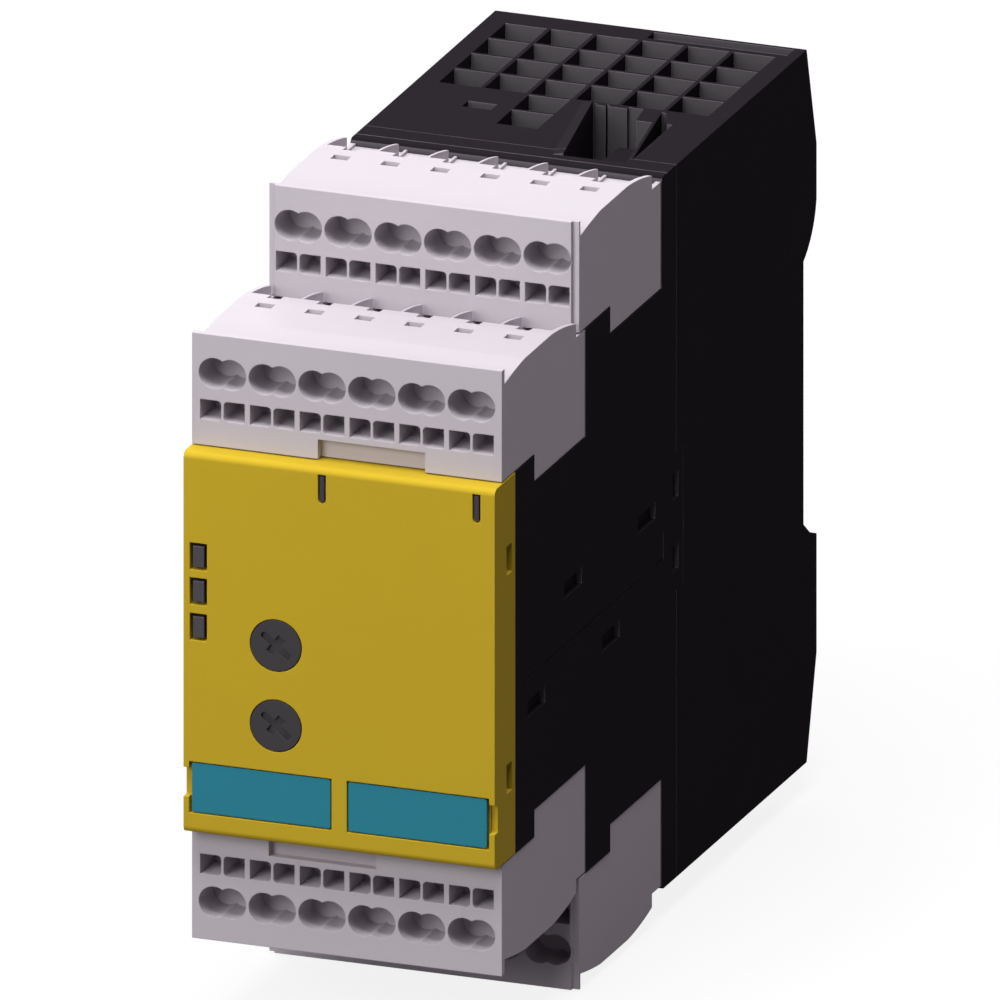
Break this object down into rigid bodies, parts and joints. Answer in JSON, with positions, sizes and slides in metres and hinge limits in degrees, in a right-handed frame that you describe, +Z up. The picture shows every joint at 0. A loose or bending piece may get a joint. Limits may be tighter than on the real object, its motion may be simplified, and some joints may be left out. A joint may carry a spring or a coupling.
{
  "type": "safety relay",
  "caption": "Rail-mounted safety relay: stepped black case, yellow front with lamps and setting dials, grey push-in terminal blocks above and below.",
  "frame": {"origin": "centre of the rail seat, on the flat that the rail's back rests against", "axes": "+Z up, the front panel faces -Y, +Y points back into the rail, +X to the right seen from the front"},
  "size_m": [0.045, 0.1231, 0.11],
  "materials": {
    "housing_black": "fine moulded grain",
    "latch_black": "fine moulded grain",
    "spring_steel": "bright",
    "cover_yellow": "satin moulded",
    "bezel_grey": "fine moulded grain",
    "window_smoke": "smoked, smooth",
    "dial_grey": "satin moulded",
    "trimmer_blue": "smooth",
    "label_teal": "satin",
    "board_green": "solder resist",
    "header_plastic": "moulded",
    "terminal_grey": "fine moulded grain",
    "tinned_copper": "tinned",
    "relay_case": "smooth",
    "core_steel": "stacked sheet edges",
    "coil_tape": "wound tape",
    "capacitor_sleeve": "shrunk sleeve",
    "component_black": "moulded",
    "lamp_clear": "clear"
  },
  "bodies": {
    "base": {"rear_housing": "housing_black", "front_housing": "housing_black", "latch_spring": "spring_steel", "front_cover": "cover_yellow", "inner_bezel": "bezel_grey", "led_window_1": "window_smoke", "led_window_2": "window_smoke", "led_window_3": "window_smoke", "potentiometer_upper": "trimmer_blue", "potentiometer_lower": "trimmer_blue", "label_plate_left": "label_teal", "label_plate_right": "label_teal", "front_board": "board_green", "main_board": "board_green", "control_board": "board_green", "terminal_board_upper": "board_green", "terminal_board_lower": "board_green", "edge_strip_upper": "header_plastic", "edge_strip_lower": "header_plastic", "pin_strip_left": "header_plastic", "pin_strip_right": "header_plastic", "relay_1": "relay_case", "relay_2": "relay_case", "relay_3": "relay_case", "transformer_core": "core_steel", "transformer_coil": "coil_tape", "smoothing_capacitor_1": "capacitor_sleeve", "smoothing_capacitor_2": "capacitor_sleeve", "bridge_rectifier": "component_black", "varistor": "trimmer_blue", "fuse_link": "component_black", "voltage_regulator": "component_black", "controller_chip_1": "component_black", "controller_chip_2": "component_black", "optocouplers": "component_black", "status_leds": "lamp_clear", "terminal_block_upper_front": "terminal_grey", "clamp_springs_upper_front": "spring_steel", "contact_bars_upper_front": "tinned_copper", "plug_pins_upper_front": "tinned_copper", "plug_header_upper_front": "header_plastic", "terminal_block_upper_rear": "terminal_grey", "clamp_springs_upper_rear": "spring_steel", "contact_bars_upper_rear": "tinned_copper", "plug_pins_upper_rear": "tinned_copper", "plug_header_upper_rear": "header_plastic", "terminal_block_lower_front": "terminal_grey", "clamp_springs_lower_front": "spring_steel", "contact_bars_lower_front": "tinned_copper", "plug_pins_lower_front": "tinned_copper", "plug_header_lower_front": "header_plastic", "terminal_block_lower_rear": "terminal_grey", "clamp_springs_lower_rear": "spring_steel", "contact_bars_lower_rear": "tinned_copper", "plug_pins_lower_rear": "tinned_copper", "plug_header_lower_rear": "header_plastic"},
    "dial_upper": {"dial_upper": "dial_grey"},
    "dial_lower": {"dial_lower": "dial_grey"},
    "rail_latch": {"rail_latch": "latch_black"}
  },
  "joints": [
    {"name": "dial_upper_turn", "type": "hinge", "parent": "base", "child": "dial_upper", "pos_m": [-0.00915, -0.1181, -0.0012], "axis": [0, 1, 0], "range_deg": [-150, 150]},
    {"name": "dial_lower_turn", "type": "hinge", "parent": "base", "child": "dial_lower", "pos_m": [-0.00915, -0.1181, -0.0127], "axis": [0, 1, 0], "range_deg": [-150, 150]},
    {"name": "rail_latch_slide", "type": "slide", "parent": "base", "child": "rail_latch", "axis": [0, 0, -1], "range_m": [0, 0.003], "stiffness_N_per_m": 2000, "springref_m": -0.001, "deforming": ["latch_spring"]}
  ]
}
